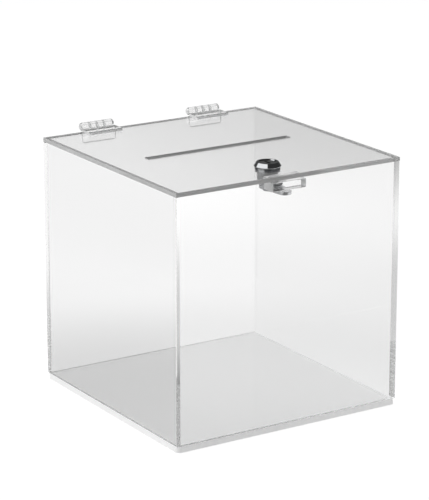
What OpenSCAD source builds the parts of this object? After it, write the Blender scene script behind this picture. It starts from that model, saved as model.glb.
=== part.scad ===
// Clear acrylic donation box with a hinged, locked lid.
// Millimetres. Origin: middle of the underside. Front faces -Y, lid on +Z.

/* [Box] */
// Outside width, left to right
box_w = 200; // [170:1:400]
// Outside depth, front to back
box_d = 200; // [170:1:400]
// Height over the closed lid
box_h = 200; // [100:1:500]

/* [Sheets] */
// Thickness of the four wall sheets
wall_t = 4; // [3:0.5:8]
// Thickness of the base sheet
base_t = 5; // [3:0.5:10]
// Thickness of the lid sheet
lid_t = 3; // [2:0.5:6]
// Radius of the base sheet's upright corners
base_corner_r = 3.5; // [1:0.5:8]

/* [Coin and note slot] */
// Length of the slot, left to right
slot_l = 130; // [60:1:150]
// Width of the slot, front to back
slot_w = 6; // [4.5:0.5:15]
// Middle of the slot, measured back from the front face
slot_inset = 100; // [70:1:110]

/* [Hinges] */
// Distance from each side of the box to the middle of its hinge
hinge_inset = 50; // [20:1:60]
// Length of a hinge along the lid's edge
hinge_l = 30; // [26:1:40]
// Thickness of the leaves
leaf_t = 2; // [1.5:0.1:2.5]
// Reach of the lid leaf forward from the back edge
lid_leaf_reach = 13.5; // [8:0.5:25]
// Reach of the body leaf down from the lid's top
body_leaf_reach = 11.5; // [9:0.5:25]
// Rounding of the leaves' free corners
leaf_corner_r = 1.5; // [0.5:0.1:3]
// Diameter of the knuckles
knuckle_d = 6.5; // [6:0.1:8]
// Rounding of the knuckles' outer ends
knuckle_round = 1.8; // [0.5:0.1:2]
// Length of the two middle knuckles
knuckle_mid_l = 6.5; // [5:0.1:8]
// Gap between neighbouring knuckles
knuckle_gap = 0.3; // [0.2:0.05:0.6]
// Gap round a knuckle, to the other leaf's edge
knuckle_clear = 0.4; // [0.3:0.05:1]
// Diameter of the hinge pin
pin_d = 2.2; // [1.6:0.1:2.3]
// Radial running clearance round the pin
pin_clear = 0.05; // [0.01:0.01:0.1]
// Wall left at the blind end of the pin's bore
pin_blind = 1.6; // [1:0.1:3]
// Depth that the pin sits below the open end of its bore
pin_recess = 0.4; // [0.1:0.1:1]

/* [Lock housing] */
// Distance from the front face to the lock's axis
lock_inset = 32; // [30:1:38]
// Largest diameter of the head
head_d = 20.8; // [20:0.1:24]
// Diameter of the head's top face
head_top_d = 16.9; // [15.5:0.1:19]
// Height of the head above the lid
head_h = 3.4; // [3:0.1:6]
// Height of the head's upright rim
head_rim_h = 0.4; // [0.2:0.1:1]
// Diameter of the dished part of the face
dish_d = 14.6; // [14:0.1:15.2]
// Depth of the dish
dish_depth = 0.7; // [0.3:0.1:1]
// Outside diameter of the threaded barrel
barrel_d = 16; // [15:0.1:17]
// Length of the barrel below the head
barrel_l = 13; // [12:0.1:20]
// Distance across the barrel's two flats
barrel_flats = 14; // [13.4:0.1:14.6]
// Pitch of the barrel's thread
thread_pitch = 1; // [0.8:0.1:1.5]
// Depth of the thread
thread_depth = 0.5; // [0.3:0.05:0.6]
// Gap between the barrel and the lid's hole
hole_clear = 0.15; // [0.05:0.05:0.4]
// Across flats of the lock nut
nut_af = 19; // [18:0.5:22]
// Thickness of the lock nut
nut_t = 2.6; // [2:0.1:4]
// Width of the nut's face inside its flats, where the corners are turned off
nut_edge = 0.3; // [0.1:0.1:0.5]
// Rise of the turned corners per millimetre outwards
nut_slope = 0.3; // [0.1:0.05:0.3]
// Turn of the nut about the lock's axis, in degrees
nut_turn = -33; // [-90:1:90]
// Outside diameter of the washer above the nut
washer_d = 18.6; // [17.8:0.1:22]
// Thickness of the washer
washer_t = 0.5; // [0.3:0.1:1]

/* [Lock plug] */
// Diameter of the plug
plug_d = 11; // [10.6:0.1:11.4]
// Diameter of the plug's flange
plug_flange_d = 12.8; // [12.2:0.1:13.2]
// Thickness of the plug's flange
plug_flange_t = 1; // [0.6:0.1:1.5]
// Radial running clearance round the plug
plug_clear = 0.05; // [0.01:0.01:0.1]
// Gap between the barrel's end and the stop washer
run_gap = 0.1; // [0.05:0.05:0.3]
// Width of the keyway
keyway_w = 1.8; // [1.4:0.1:2]
// Length of the keyway across the plug's face
keyway_l = 7.6; // [6:0.1:8]
// Run of the keyway past the last wafer
keyway_past = 0.5; // [0.2:0.1:1]
// Depth of the two grooves in the housing that take the wafers' ends
groove_depth = 1; // [0.6:0.1:1.2]

/* [Wafers and springs] */
// Thickness of a wafer
wafer_t = 0.9; // [0.6:0.1:1]
// Width of a wafer
wafer_w = 5; // [4.6:0.1:5.2]
// Number of wafers
wafer_n = 5; // [2:1:6]
// Length of the side tab that a wafer's spring pushes on
wafer_tab_l = 1; // [0.8:0.1:1.2]
// Spacing of the wafers down the plug
wafer_pitch = 1.8; // [1.7:0.05:1.9]
// Gap round a wafer in its slot
wafer_clear = 0.06; // [0.02:0.01:0.1]
// Width of the window that the key passes
window_w = 2.2; // [2.1:0.1:2.6]
// Length of that window
window_l = 8; // [7.7:0.1:8.4]
// Outside diameter of a wafer's spring
spring_d = 1.2; // [1:0.05:1.3]
// Wire diameter of the spring
spring_wire = 0.22; // [0.16:0.02:0.26]
// Length of the spring in its pocket
spring_l = 2.6; // [2:0.1:2.8]
// Gap round the spring in its pocket
spring_clear = 0.1; // [0.05:0.05:0.15]
// Turns in each spring
spring_turns = 3; // [2:1:5]

/* [Cam] */
// Thickness of the stop washer
stop_t = 0.8; // [0.5:0.1:1.5]
// Rim of the stop washer round the plug's end
stop_rim = 0.4; // [0.2:0.1:0.6]
// Gap between the stop washer's rim and the barrel's lug
stop_gap = 0.3; // [0.2:0.05:0.4]
// Turn of the lock, in degrees
lock_turn = 90; // [60:5:120]
// Half the angle of the stop washer's tab, in degrees
tab_half = 20; // [10:1:30]
// Slack at each end of the tab's swing, in degrees
stop_slack = 1.5; // [0.5:0.5:3]
// Side of the square that drives the cam
square_w = 6; // [5:0.1:6.5]
// Gap round the square
square_clear = 0.05; // [0.02:0.01:0.1]
// Diameter of the cam's hub
cam_hub_d = 15; // [12:0.5:16]
// Width of the cam at its tip
cam_tip_w = 10; // [7:0.5:11]
// Thickness of the cam
cam_t = 2.6; // [1.5:0.1:4]
// Gap between the cam's tip and the front panel
cam_tip_gap = 1; // [0.5:0.1:4]
// Diameter of the cam screw's thread
screw_d = 3.5; // [3:0.1:4]
// Length of the screw's shank
screw_l = 5.5; // [4:0.1:6]
// Diameter of the screw's head
screw_head_d = 9.4; // [9:0.1:11]
// Height of the screw's head
screw_head_h = 2; // [1.5:0.1:3]
// Chamfer round the screw's head
screw_edge = 0.5; // [0.2:0.1:1]
// Length of each arm of the cross recess
recess_l = 4.6; // [3:0.1:6]
// Width of those arms
recess_w = 1.2; // [0.8:0.1:1.6]
// Depth of the recess
recess_depth = 1; // [0.5:0.1:1.2]

/* [Catch block] */
// Width of the block, left to right
catch_w = 30; // [20:1:60]
// Depth of the block, back from the front panel
catch_d = 12; // [8:0.5:14]
// Gap between the block's top and the closed lid
catch_drop = 2; // [0.5:0.1:3]
// Gap between the block's underside and the cam
catch_clear = 1.9; // [0.3:0.1:2.5]

/* [Hidden] */

fine = 96;           // sides of a large circle
small = 48;          // sides of a small circle
cut = 1;             // how far a cutting solid runs past what it cuts
clear_acrylic = [0.85, 0.9, 0.93, 0.35];
hinge_acrylic = [0.8, 0.87, 0.92, 0.5];
bright_chrome = [0.75, 0.76, 0.78];
plated_steel = [0.62, 0.63, 0.65];
yellow_brass = [0.78, 0.62, 0.3];

// Heights and edges of the shell
wall_top = box_h - lid_t;
wall_h = wall_top - base_t;
front_y = -box_d / 2;
back_y = box_d / 2;

// Hinge axis: the knuckles touch the planes of the lid's top and the back face
hinge_x = box_w / 2 - hinge_inset;
knuckle_r = knuckle_d / 2;
axis_y = back_y + knuckle_r;
axis_z = box_h + knuckle_r;
leaf_edge = knuckle_r + knuckle_clear;
pin_bore_r = pin_d / 2 + pin_clear;
knuckle_ends = [-hinge_l / 2, -knuckle_mid_l, 0, knuckle_mid_l, hinge_l / 2];
body_knuckles = [0, 2];
lid_knuckles = [1, 3];

// Lock: heights are measured from the lid's top, on the lock's own axis
lock_y = front_y + lock_inset;
dish_z = head_h - dish_depth;
flange_z = dish_z - plug_flange_t;
plug_r = plug_d / 2;
plug_bore_r = plug_r + plug_clear;
stop_top = -barrel_l - run_gap;
cam_top = stop_top - stop_t;
cam_bottom = cam_top - cam_t;
stub_end = cam_bottom + run_gap;
cam_l = lock_inset - wall_t - cam_tip_gap;
hole_r = barrel_d / 2 + hole_clear;
hole_flats = barrel_flats + 2 * hole_clear;

// Stop washer: a tab that swings between the two ends of a raised lug
stop_disc_r = plug_r + stop_rim;
lug_inner_r = stop_disc_r + stop_gap;
tab_r = barrel_d / 2 - thread_depth;
lug_h = stop_t - run_gap;
tab_rest = 90;                                   // the tab points to the back at rest

// Wafers: a stack on the plug's axis, each with its spring beside it
wafer_top = -wafer_t / 2;                        // middle of the first wafer
wafer_tab_w = spring_d + 2 * spring_clear;       // reach of a wafer's side tab
spring_x = wafer_w / 2 + wafer_tab_w / 2;
pocket_r = spring_d / 2 + spring_clear;
spring_steps = 8;                                // rings in one turn
spring_sides = 5;                                // sides of the wire

// Catch block: its underside clears the cam, its top clears the lid
catch_bottom = box_h + cam_top + catch_clear;
catch_top = wall_top - catch_drop;

// ---- shared shapes ----

// Plate of thickness t with its four upright corners rounded, standing on z = 0
module rounded_plate(w, d, t, r) {
    linear_extrude(t) {
        square([w - 2 * r, d], center = true);
        square([w, d - 2 * r], center = true);
        for (sx = [-1, 1], sy = [-1, 1])
            translate([sx * (w / 2 - r), sy * (d / 2 - r)]) circle(r, $fn = small);
    }
}

// Sheet with its lowest corner at the given place
module sheet(corner, dims) {
    translate(corner) cube(dims);
}

// Bar that fills the space between a barrel's two flats
module flats_bar(across, z0, z1) {
    translate([-across / 2, -barrel_d, z0]) cube([across, 2 * barrel_d, z1 - z0]);
}

module at_lock() {
    translate([0, lock_y, box_h]) children();
}

// ---- shell ----

module base_panel() {
    color(clear_acrylic) rounded_plate(box_w, box_d, base_t, base_corner_r);
}

module front_panel() {
    color(clear_acrylic) sheet([-box_w / 2, front_y, base_t], [box_w, wall_t, wall_h]);
}

module back_panel() {
    color(clear_acrylic) sheet([-box_w / 2, back_y - wall_t, base_t], [box_w, wall_t, wall_h]);
}

// Side panels stand between the front and back panels
module side_panel(x0) {
    side_d = box_d - 2 * wall_t;
    color(clear_acrylic) sheet([x0, front_y + wall_t, base_t], [wall_t, side_d, wall_h]);
}

module left_panel() {
    side_panel(-box_w / 2);
}

module right_panel() {
    side_panel(box_w / 2 - wall_t);
}

module catch_block() {
    catch_h = catch_top - catch_bottom;
    color(clear_acrylic)
        sheet([-catch_w / 2, front_y + wall_t, catch_bottom], [catch_w, catch_d, catch_h]);
}

// ---- lid ----

module lid_panel() {
    color(clear_acrylic) difference() {
        sheet([-box_w / 2, front_y, wall_top], [box_w, box_d, lid_t]);
        sheet([-slot_l / 2, front_y + slot_inset - slot_w / 2, wall_top - cut],
            [slot_l, slot_w, lid_t + 2 * cut]);
        at_lock() intersection() {
            translate([0, 0, -lid_t - cut]) cylinder(r = hole_r, h = lid_t + 2 * cut, $fn = fine);
            flats_bar(hole_flats, -lid_t - 2 * cut, 2 * cut);
        }
    }
}

// ---- hinges ----

// Knuckle along +X from x0 to x1, on the hinge's axis; round_lo and round_hi round its ends
module knuckle(x0, x1, round_lo, round_hi) {
    lo = round_lo ? knuckle_round : 0;
    hi = round_hi ? knuckle_round : 0;
    translate([x0, 0, 0]) rotate([0, 90, 0]) rotate_extrude($fn = small) {
        square([knuckle_r - knuckle_round, x1 - x0]);
        translate([0, lo]) square([knuckle_r, x1 - x0 - lo - hi]);
        intersection() {
            square([knuckle_r, x1 - x0]);
            for (y = [lo, x1 - x0 - hi])
                translate([knuckle_r - knuckle_round, y]) circle(knuckle_round, $fn = small);
        }
    }
}

// Bore for the pin: blind at the left end, open at the right
module pin_bore() {
    translate([-hinge_l / 2 + pin_blind, 0, 0]) rotate([0, 90, 0])
        cylinder(r = pin_bore_r, h = hinge_l, $fn = small);
}

// One leaf in the hinge's own frame: plate along -Y under the axis, knuckles numbered in which
module leaf(which, reach) {
    plate_y0 = -knuckle_r - reach;
    difference() {
        union() {
            for (k = which) {
                x0 = knuckle_ends[k] + (k == 0 ? 0 : knuckle_gap / 2);
                x1 = knuckle_ends[k + 1] - (k == 3 ? 0 : knuckle_gap / 2);
                web_lo = x0 + (k == 0 ? knuckle_round : 0);
                web_hi = x1 - (k == 3 ? knuckle_round : 0);
                knuckle(x0, x1, k == 0, k == 3);
                translate([web_lo, -leaf_edge, -knuckle_r]) cube([web_hi - web_lo, leaf_edge, leaf_t]);
            }
            plate_d = -leaf_edge - plate_y0;
            translate([0, plate_y0, -knuckle_r]) linear_extrude(leaf_t) {
                translate([-hinge_l / 2, leaf_corner_r])
                    square([hinge_l, plate_d - leaf_corner_r]);
                translate([-hinge_l / 2 + leaf_corner_r, 0])
                    square([hinge_l - 2 * leaf_corner_r, plate_d]);
                for (s = [-1, 1])
                    translate([s * (hinge_l / 2 - leaf_corner_r), leaf_corner_r])
                        circle(leaf_corner_r, $fn = small);
            }
        }
        pin_bore();
    }
}

module at_hinge(side) {
    translate([side * hinge_x, axis_y, axis_z]) children();
}

// Lid leaf: lies on the lid
module lid_leaf(side) {
    color(hinge_acrylic) at_hinge(side) leaf(lid_knuckles, lid_leaf_reach);
}

// Body leaf: the same form turned to hang down the back panel
module body_leaf(side) {
    color(hinge_acrylic) at_hinge(side) rotate([90, 0, 0]) mirror([0, 0, 1])
        leaf(body_knuckles, body_leaf_reach);
}

module hinge_pin(side) {
    pin_x0 = -hinge_l / 2 + pin_blind;
    pin_x1 = hinge_l / 2 - pin_recess;
    color(hinge_acrylic) at_hinge(side) translate([pin_x0, 0, 0]) rotate([0, 90, 0])
        cylinder(r = pin_d / 2, h = pin_x1 - pin_x0, $fn = small);
}

module hinge_left_lid_leaf() {
    lid_leaf(-1);
}

module hinge_left_body_leaf() {
    body_leaf(-1);
}

module hinge_left_pin() {
    hinge_pin(-1);
}

module hinge_right_lid_leaf() {
    lid_leaf(1);
}

module hinge_right_body_leaf() {
    body_leaf(1);
}

module hinge_right_pin() {
    hinge_pin(1);
}

// ---- lock housing, washer and nut ----

// Thread as a row of ridges, drawn as one profile from the barrel's end up to the head
function ridge_points(core_r, z0, n) =
    [for (k = [0:n - 1], p = [0, 1]) [core_r + p * thread_depth, z0 + (k + p / 2) * thread_pitch]];

module threaded_barrel() {
    core_r = barrel_d / 2 - thread_depth;
    z0 = -barrel_l + thread_pitch / 2;
    n = floor((barrel_l - thread_pitch) / thread_pitch);
    start = [[0, -barrel_l], [core_r, -barrel_l]];
    finish = [[core_r, z0 + n * thread_pitch], [core_r, head_rim_h], [0, head_rim_h]];
    intersection() {
        rotate_extrude($fn = fine) polygon(concat(start, ridge_points(core_r, z0, n), finish));
        flats_bar(barrel_flats, -barrel_l - cut, head_rim_h + cut);
    }
}

module lock_head() {
    top_r = head_top_d / 2;
    rim_r = head_d / 2;
    rotate_extrude($fn = fine)
        polygon([[0, 0], [rim_r, 0], [rim_r, head_rim_h], [top_r, head_h], [0, head_h]]);
}

// Everything that is turned out of the housing: bore, seat of the flange, dish
module housing_bore() {
    seat_r = plug_flange_d / 2 + plug_clear;
    low = -barrel_l - lug_h - cut;
    rotate_extrude($fn = fine)
        polygon([[0, low], [plug_bore_r, low], [plug_bore_r, flange_z], [seat_r, flange_z],
            [seat_r, dish_z], [dish_d / 2, head_h], [dish_d / 2, head_h + cut], [0, head_h + cut]]);
}

// Two grooves, open at the barrel's end, that the wafers' ends spring into
module wafer_grooves() {
    w = wafer_w + 4 * wafer_clear;
    reach = plug_bore_r + groove_depth;
    top = wafer_top + wafer_t;
    translate([-w / 2, -reach, -barrel_l - lug_h - cut])
        cube([w, 2 * reach, top + barrel_l + lug_h + cut]);
}

// Pie slice from angle a0 to a1
module sector(a0, a1, r) {
    steps = 8;
    polygon(concat([[0, 0]],
        [for (k = [0:steps]) let (a = a0 + (a1 - a0) * k / steps) [r * cos(a), r * sin(a)]]));
}

// Raised lug on the barrel's end: a ring left open where the stop washer's tab swings
module stop_lug() {
    z0 = -barrel_l - lug_h;
    core_r = barrel_d / 2 - thread_depth;
    first = tab_rest - lock_turn - tab_half - stop_slack;
    last = tab_rest + tab_half + stop_slack;
    translate([0, 0, z0]) difference() {
        intersection() {
            cylinder(r = core_r, h = lug_h + cut, $fn = fine);
            flats_bar(barrel_flats, 0, lug_h + cut);
        }
        translate([0, 0, -cut]) cylinder(r = lug_inner_r, h = lug_h + cut, $fn = fine);
        translate([0, 0, -cut]) linear_extrude(lug_h + cut) sector(first, last, 2 * barrel_d);
    }
}

module lock_housing() {
    color(bright_chrome) at_lock() difference() {
        union() {
            lock_head();
            threaded_barrel();
            stop_lug();
        }
        housing_bore();
        wafer_grooves();
    }
}

module lock_washer() {
    color(plated_steel) at_lock() translate([0, 0, -lid_t - washer_t]) difference() {
        cylinder(d = washer_d, h = washer_t, $fn = fine);
        translate([0, 0, -cut])
            cylinder(r = barrel_d / 2 + hole_clear, h = washer_t + 2 * cut, $fn = fine);
    }
}

// Hexagon nut, its corners turned off at both faces
module lock_nut() {
    corner_r = nut_af / 2 / cos(30);
    face_r = nut_af / 2 - nut_edge;
    outer_r = corner_r + cut;
    lead = (outer_r - face_r) * nut_slope;
    color(plated_steel) at_lock() translate([0, 0, -lid_t - washer_t - nut_t]) difference() {
        intersection() {
            rotate(nut_turn) cylinder(r = corner_r, h = nut_t, $fn = 6);
            rotate_extrude($fn = fine) polygon([[0, 0], [face_r, 0], [outer_r, lead],
                [outer_r, nut_t - lead], [face_r, nut_t], [0, nut_t]]);
        }
        translate([0, 0, -cut])
            cylinder(r = barrel_d / 2 + plug_clear, h = nut_t + 2 * cut, $fn = fine);
    }
}

// ---- plug, wafers and springs ----

// Places its children at wafer k: odd ones are turned half round
module at_wafer(k) {
    translate([0, 0, wafer_top - k * wafer_pitch]) rotate(180 * (k % 2)) children();
}

// Room in the plug for one wafer, its side tab and its spring
module wafer_slot() {
    w = wafer_w + 2 * wafer_clear;
    t = wafer_t + 2 * wafer_clear;
    tab_x = wafer_w / 2 + wafer_tab_w + wafer_clear;
    tab_y = wafer_tab_l + groove_depth;
    translate([-w / 2, -plug_d, -t / 2]) cube([w, 2 * plug_d, t]);
    translate([0, -tab_y, -t / 2]) cube([tab_x, tab_y + wafer_clear, t]);
    translate([spring_x, 0, 0]) rotate([-90, 0, 0])
        cylinder(r = pocket_r, h = spring_l, $fn = small);
}

module lock_plug() {
    keyway_bottom = wafer_top - (wafer_n - 1) * wafer_pitch - wafer_t / 2 - keyway_past;
    color(bright_chrome) at_lock() difference() {
        union() {
            translate([0, 0, flange_z])
                cylinder(d = plug_flange_d, h = plug_flange_t, $fn = fine);
            translate([0, 0, stop_top]) cylinder(r = plug_r, h = flange_z - stop_top, $fn = fine);
            translate([-square_w / 2, -square_w / 2, stub_end])
                cube([square_w, square_w, stop_top - stub_end + cut]);
        }
        translate([-keyway_w / 2, -keyway_l / 2, keyway_bottom])
            cube([keyway_w, keyway_l, dish_z - keyway_bottom + cut]);
        for (k = [0:wafer_n - 1]) at_wafer(k) wafer_slot();
        translate([0, 0, cam_bottom - cut])
            cylinder(d = screw_d + 2 * plug_clear, h = screw_l + run_gap + cut, $fn = small);
    }
}

// Wafer with its key window and side tab, drawn in as by the key
module wafer() {
    translate([0, 0, -wafer_t / 2]) linear_extrude(wafer_t) difference() {
        intersection() {
            union() {
                square([wafer_w, plug_d], center = true);
                translate([0, -wafer_tab_l]) square([wafer_w / 2 + wafer_tab_w, wafer_tab_l]);
            }
            circle(plug_r - 2 * wafer_clear, $fn = small);
        }
        square([window_w, window_l], center = true);
    }
}

module wafer_tumblers() {
    color(yellow_brass) at_lock() for (k = [0:wafer_n - 1]) at_wafer(k) wafer();
}

// Points of the ring i of the spring's wire; the coil runs along +Y
function spring_ring(i, coil_r, wire_r, rise) =
    let (a = 360 * i / spring_steps)
    [for (j = [0:spring_sides - 1])
        let (b = 360 * j / spring_sides, r = coil_r + wire_r * cos(b))
        [r * cos(a), wire_r * (1 + sin(b)) + rise * i, r * sin(a)]];

module wafer_spring() {
    wire_r = spring_wire / 2;
    coil_r = spring_d / 2 - wire_r;
    last = spring_turns * spring_steps;
    rise = (spring_l - spring_wire) / last;
    m = spring_sides;
    points = [for (i = [0:last]) each spring_ring(i, coil_r, wire_r, rise)];
    sides = [for (i = [0:last - 1], j = [0:m - 1])
        [i * m + j, i * m + (j + 1) % m, (i + 1) * m + (j + 1) % m, (i + 1) * m + j]];
    near_end = [for (j = [m - 1:-1:0]) j];
    far_end = [for (j = [0:m - 1]) last * m + j];
    polyhedron(points, concat([near_end], sides, [far_end]));
}

module wafer_springs() {
    color(plated_steel) at_lock() for (k = [0:wafer_n - 1])
        at_wafer(k) translate([spring_x, 0, 0]) wafer_spring();
}

// ---- cam ----

module drive_square(h) {
    side = square_w + 2 * square_clear;
    translate([-side / 2, -side / 2, -cut]) cube([side, side, h + 2 * cut]);
}

module stop_washer() {
    color(plated_steel) at_lock() translate([0, 0, cam_top]) difference() {
        union() {
            cylinder(r = stop_disc_r, h = stop_t, $fn = fine);
            intersection() {
                cylinder(r = tab_r, h = stop_t, $fn = fine);
                linear_extrude(stop_t) sector(tab_rest - tab_half, tab_rest + tab_half, barrel_d);
            }
        }
        drive_square(stop_t);
    }
}

// Cam: round hub and round tip joined by their common tangents, pointing to the front
module lock_cam() {
    hub_r = cam_hub_d / 2;
    tip_r = cam_tip_w / 2;
    tip_y = cam_l - tip_r;
    slope = (hub_r - tip_r) / tip_y;
    side = sqrt(1 - slope * slope);
    color(bright_chrome) at_lock() translate([0, 0, cam_bottom]) difference() {
        linear_extrude(cam_t) {
            circle(hub_r, $fn = fine);
            translate([0, -tip_y]) circle(tip_r, $fn = fine);
            polygon([[-hub_r * side, -hub_r * slope], [-tip_r * side, -tip_r * slope - tip_y],
                [tip_r * side, -tip_r * slope - tip_y], [hub_r * side, -hub_r * slope]]);
        }
        drive_square(cam_t);
    }
}

// Pan-head screw with a cross recess, driven up into the plug
module cam_screw() {
    head_r = screw_head_d / 2;
    color(plated_steel) at_lock() translate([0, 0, cam_bottom]) difference() {
        union() {
            rotate_extrude($fn = small) polygon([[0, -screw_head_h],
                [head_r - screw_edge, -screw_head_h], [head_r, screw_edge - screw_head_h],
                [head_r, 0], [0, 0]]);
            cylinder(d = screw_d, h = screw_l, $fn = small);
        }
        for (a = [0, 90])
            rotate(a) translate([-recess_l / 2, -recess_w / 2, -screw_head_h - cut])
                cube([recess_l, recess_w, recess_depth + cut]);
    }
}

base_panel();
front_panel();
back_panel();
left_panel();
right_panel();
catch_block();
lid_panel();
hinge_left_lid_leaf();
hinge_left_body_leaf();
hinge_left_pin();
hinge_right_lid_leaf();
hinge_right_body_leaf();
hinge_right_pin();
lock_housing();
lock_washer();
lock_nut();
lock_plug();
wafer_tumblers();
wafer_springs();
stop_washer();
lock_cam();
cam_screw();
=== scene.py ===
"""Clear acrylic donation box: sheets, clear hinges and a cam lock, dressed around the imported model.

Metres. The origin is the middle of the underside, the front faces -Y and the lid is on +Z.
"""

import math

import bpy
import numpy as np
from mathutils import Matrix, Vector
from mathutils.geometry import delaunay_2d_cdt


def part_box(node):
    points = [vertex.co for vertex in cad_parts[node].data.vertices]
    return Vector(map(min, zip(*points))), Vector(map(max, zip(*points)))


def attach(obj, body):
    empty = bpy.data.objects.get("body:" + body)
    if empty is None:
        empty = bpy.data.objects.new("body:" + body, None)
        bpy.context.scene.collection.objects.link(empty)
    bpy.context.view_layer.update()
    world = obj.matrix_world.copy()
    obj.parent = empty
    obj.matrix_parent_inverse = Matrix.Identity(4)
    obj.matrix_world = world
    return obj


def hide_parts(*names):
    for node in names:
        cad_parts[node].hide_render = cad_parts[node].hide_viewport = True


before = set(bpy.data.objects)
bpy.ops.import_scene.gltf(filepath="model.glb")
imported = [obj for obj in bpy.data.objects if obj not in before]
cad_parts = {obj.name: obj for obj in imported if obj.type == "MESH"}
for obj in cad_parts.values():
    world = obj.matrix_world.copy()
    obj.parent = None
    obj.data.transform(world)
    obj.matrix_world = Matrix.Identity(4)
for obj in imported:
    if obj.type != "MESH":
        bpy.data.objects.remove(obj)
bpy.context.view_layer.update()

MM = 0.001
TINY = 1e-8
SAME_POINT = 1e-6  # two corners of a flat face that are nearer count as one, in millimetres
FACING = 0.68  # share of its normal over which a face looks along an axis
ROUND_STEPS, BORE_STEPS = 96, 48  # points round a circle

# Finishes of faces: as cast, cut or dull, cemented, milled, and cemented with air left in the joint
PLAIN, CUT, JOINED, MILLED, AIRY = 0, 1, 2, 3, 4

# Sheets
FILM = 0.01 * MM  # thickness of the cement between two sheets
REST_GAP = 0.03 * MM  # film of air under the closed lid
SHEET_EDGE = 0.22 * MM  # rounding of a free sheet's edges
JOINT_EDGE = 0.06 * MM  # rounding of the edges of a sheet that is cemented
SLOT_L, SLOT_W = 130 * MM, 6 * MM
SLOT_CORNER = 0.5 * MM
BASE_CORNER = 3.5 * MM
CATCH_EDGE = 0.5 * MM

# Hinges, about the pin's axis
KNUCKLE_R, KNUCKLE_ROUND, KNUCKLE_GAP, KNUCKLE_CLEAR = 3.25 * MM, 1.8 * MM, 0.3 * MM, 0.4 * MM
HINGE_L, KNUCKLE_MID_L = 30 * MM, 6.5 * MM
LEAF_T, LEAF_CORNER, LEAF_FOOT, LEAF_BROW = 2 * MM, 1.5 * MM, 0.1 * MM, 1.7 * MM
PIN_R, PIN_BLIND, PIN_RECESS, PIN_EDGE = 1.1 * MM, 1.6 * MM, 0.4 * MM, 0.2 * MM
BORE_R = PIN_R - 0.02 * MM
KNUCKLE_ENDS = np.array([-HINGE_L / 2, -KNUCKLE_MID_L, 0, KNUCKLE_MID_L, HINGE_L / 2])
LAST_KNUCKLE = len(KNUCKLE_ENDS) - 2
KNUCKLE_STEPS, WEB_STEPS, DOME_STEPS, CORNER_STEPS = 49, 9, 13, 9
WEB_END = -KNUCKLE_R - KNUCKLE_CLEAR
WEB_TOP = LEAF_T - KNUCKLE_R
WEB_ANGLE = np.pi + np.arcsin(-WEB_TOP / KNUCKLE_R)

# Lock, in its own frame: its axis is Z and the top of the lid is z = 0
HEAD_R, HEAD_TOP_R, HEAD_H, HEAD_RIM = 10.4 * MM, 8.45 * MM, 3.4 * MM, 0.4 * MM
HEAD_ROUNDS = np.array([0, 0.1, 0.15, 0.35, 0.2, 0.05, 0, 0, 0, 0]) * MM  # corner by corner
DISH_R, DISH_DEPTH = 7.3 * MM, 0.7 * MM
BARREL_R, BARREL_L, BARREL_FLATS = 8 * MM, 13 * MM, 14 * MM
HEAD_LAP, END_LAP = 0.3 * MM, 0.1 * MM  # the head starts inside the thread, the end in the flats
HOLE_CLEAR = 0.15 * MM
THREAD_PITCH, THREAD_DEPTH, THREAD_ROWS, THREAD_STEPS = 1 * MM, 0.5 * MM, 131, 144
PLUG_R, PLUG_CLEAR, FLANGE_R, FLANGE_T = 5.5 * MM, 0.05 * MM, 6.4 * MM, 1 * MM
SEAT_GAP = 0.02 * MM  # under the plug's flange, so that it turns free of its seat
NUT_FLATS, NUT_CORNER, NUT_CHAMFER_R, NUT_SLOPE = 19 * MM, 0.4 * MM, 9.2 * MM, 0.3
NUT_TURN = np.radians(-33)
WASHER_EDGE = 0.08 * MM
LUG_INNER_R, LUG_H, LUG_EDGE = 6.2 * MM, 0.7 * MM, 0.05 * MM
LUG_FROM, LUG_TO, LUG_STEPS = np.radians(112), np.radians(338), 60  # round the barrel
SQUARE_W, SQUARE_CORNER = 6.1 * MM, 0.15 * MM
HUB_R, TIP_R, CAM_EDGE = 7.5 * MM, 5 * MM, 0.4 * MM
SCREW_HEAD_R, SCREW_R, SCREW_EDGE, SCREW_STEPS = 4.7 * MM, 1.75 * MM, 0.5 * MM, 64
SCREW_ROUNDS = np.array([0, 0.35, 0.1, 0, 0]) * MM
RECESS_L, RECESS_W, RECESS_DEEP, RECESS_CORNER = 4.6 * MM, 1.2 * MM, 1 * MM, 0.12 * MM

# Finishes
ACRYLIC_IOR = 1.49
WAVE_SCALE, HAIR_SCALE, SAW_SCALE, CLOUD_SCALE = 9.0, 260.0, 1400.0, 60.0  # of noise patterns
HAIR_FROM, HAIR_TO = 0.55, 0.8  # part of the hairline pattern over which scratches come in
SHADOW_TINT = (0.94, 0.95, 0.95, 1)  # what a face leaves of a lamp's light
SAW_DEPTH, SAW_SHARE, CLOUD_DIM = 0.01 * MM, 0.5, 0.93  # saw lines, and darker clouds of frost
FILM_TONE, FILM_ROUGH = 0.98, 0.8
SPOT_ROUGH, SPOT_DIM, RIPPLE_SHARE = 1.9, 0.86, 0.25  # rougher and darker grains of plated metal
ONCE = 0.5  # a depth of bounces over this is one or more

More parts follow.
